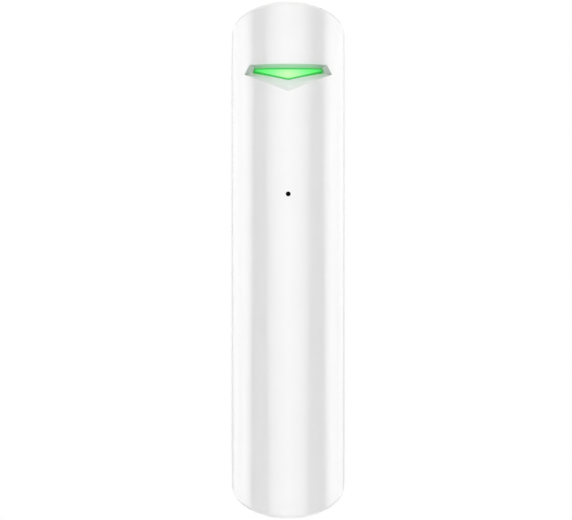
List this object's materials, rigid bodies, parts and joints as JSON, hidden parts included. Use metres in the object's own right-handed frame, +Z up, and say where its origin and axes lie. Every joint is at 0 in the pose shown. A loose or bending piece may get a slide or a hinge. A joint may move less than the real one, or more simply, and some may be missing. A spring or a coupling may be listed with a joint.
{
  "type": "glass break sensor",
  "caption": "Slim half-round acoustic glass break sensor with slanted ends, a lit faceted indicator and a sound hole, hung on a screw-fixed wall bracket.",
  "frame": {"origin": "middle of the wall bracket's back face, on the wall", "axes": "+X to the right seen from the front, +Y into the wall so the front faces -Y, +Z up along the length"},
  "size_m": [0.02, 0.022, 0.09],
  "materials": {
    "housing_white": "gloss",
    "indicator_green": "gloss",
    "chassis_white": "satin",
    "bracket_white": "satin",
    "battery_wrap": "shrink wrap",
    "spring_metal": "nickel plated",
    "circuit_board": "solder mask",
    "bright_metal": "tinned",
    "black_rubber": "matte",
    "black_fabric": "woven",
    "lamp_white": "moulded",
    "copper": "drawn wire",
    "black_plastic": "moulded",
    "component_ceramic": "fired ceramic",
    "plunger_white": "moulded",
    "terminal_green": "moulded"
  },
  "bodies": {
    "bracket": {"wall_bracket": "bracket_white"},
    "detector": {"front_housing": "housing_white", "light_guide": "indicator_green", "rear_cover": "chassis_white", "battery": "battery_wrap", "battery_contact_positive": "spring_metal", "battery_contact_negative": "spring_metal", "main_board": "circuit_board", "microphone": "bright_metal", "microphone_gasket": "black_rubber", "acoustic_mesh": "black_fabric", "indicator_led": "lamp_white", "radio_shield": "bright_metal", "antenna": "copper", "processor_chip": "black_plastic", "chip_components": "component_ceramic", "power_switch": "bright_metal", "tamper_switch": "black_plastic", "tamper_spring": "spring_metal", "terminal_block": "terminal_green", "terminal_screws": "spring_metal", "terminal_clamps": "spring_metal"},
    "tamper_plunger": {"tamper_plunger": "plunger_white"},
    "power_slider": {"power_slider": "black_plastic"}
  },
  "joints": [
    {"name": "detector_slide", "type": "slide", "parent": "bracket", "child": "detector", "axis": [0, 0, 1], "range_m": [0, 0.006]},
    {"name": "tamper_press", "type": "slide", "parent": "detector", "child": "tamper_plunger", "axis": [0, -1, 0], "range_m": [0, 0.0008], "stiffness_N_per_m": 300, "springref_m": -0.001, "deforming": ["tamper_spring"]},
    {"name": "power_slide", "type": "slide", "parent": "detector", "child": "power_slider", "axis": [1, 0, 0], "range_m": [0, 0.002]}
  ]
}
